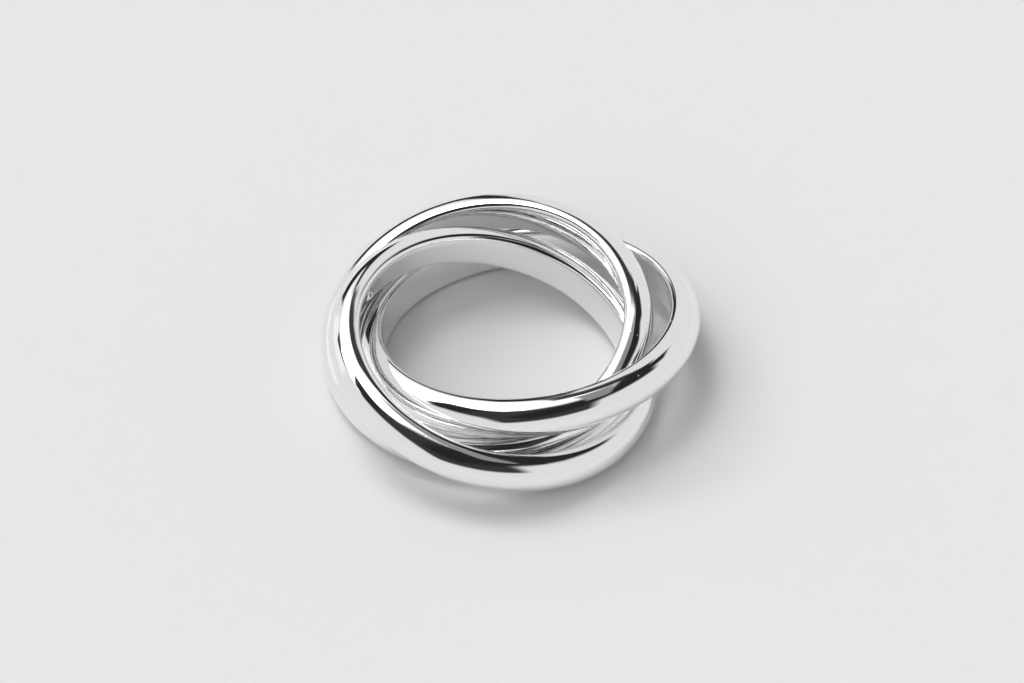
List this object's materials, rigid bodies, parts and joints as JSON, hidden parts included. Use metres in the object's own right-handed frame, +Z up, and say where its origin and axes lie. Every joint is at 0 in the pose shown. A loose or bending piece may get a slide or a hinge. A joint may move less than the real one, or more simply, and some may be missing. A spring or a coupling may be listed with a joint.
{
  "type": "rolling ring",
  "caption": "Finger ring of linked, domed metal bands that pass through each other and roll freely together.",
  "frame": {"origin": "on the surface that the ring lies on, under the middle of its overall box", "axes": "+Z up, along the finger, out of the surface; +Y towards the back of the picture; +X to its right"},
  "size_m": [0.0244, 0.0246, 0.0071],
  "materials": {
    "polished_silver": "polished"
  },
  "bodies": {
    "band_back": {"band_back": "polished_silver"},
    "band_left": {"band_left": "polished_silver"},
    "band_right": {"band_right": "polished_silver"}
  },
  "joints": [
    {"name": "left_roll", "type": "hinge", "parent": "band_back", "child": "band_left", "pos_m": [-0.00109, -0.00151, 0.00355], "axis": [0.2255, -0.0646, 0.9721], "continuous": true},
    {"name": "right_roll", "type": "hinge", "parent": "band_back", "child": "band_right", "pos_m": [0.0011, 0.0013, 0.00327], "axis": [-0.0959, 0.1729, 0.9803], "continuous": true}
  ]
}
